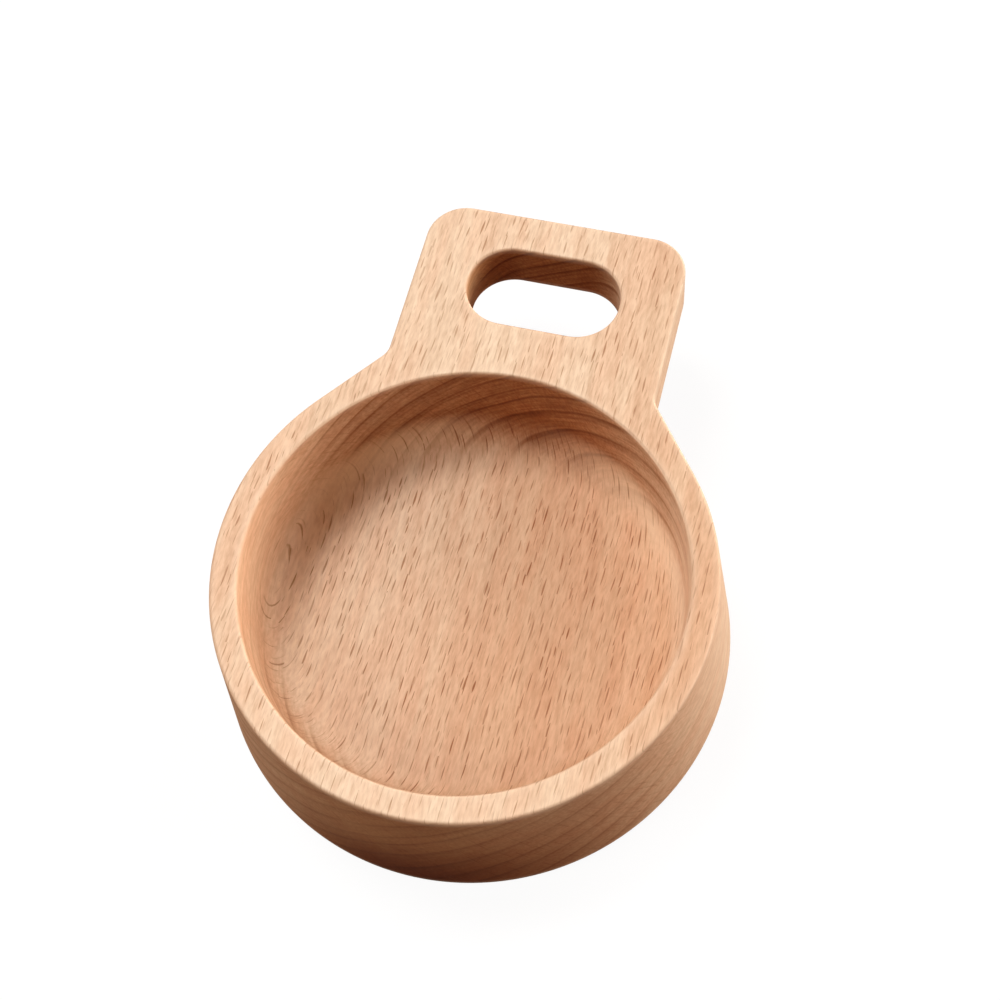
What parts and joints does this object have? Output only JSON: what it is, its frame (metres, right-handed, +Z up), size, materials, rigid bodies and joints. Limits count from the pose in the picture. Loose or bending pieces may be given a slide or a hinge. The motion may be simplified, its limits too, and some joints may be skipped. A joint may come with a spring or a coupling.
{
  "type": "snack dish",
  "caption": "Round wooden snack dish with a coved recess and a square tab handle that a rounded slot passes through, for a finger or a hook.",
  "frame": {"origin": "centre of the round base, on the underside", "axes": "+Z up out of the recess, +Y along the handle and the grain, +X across the handle"},
  "size_m": [0.0856, 0.1099, 0.026],
  "materials": {
    "beech": "sanded smooth, thin matt oil"
  },
  "bodies": {
    "root": {"dish": "beech"}
  },
  "joints": []
}
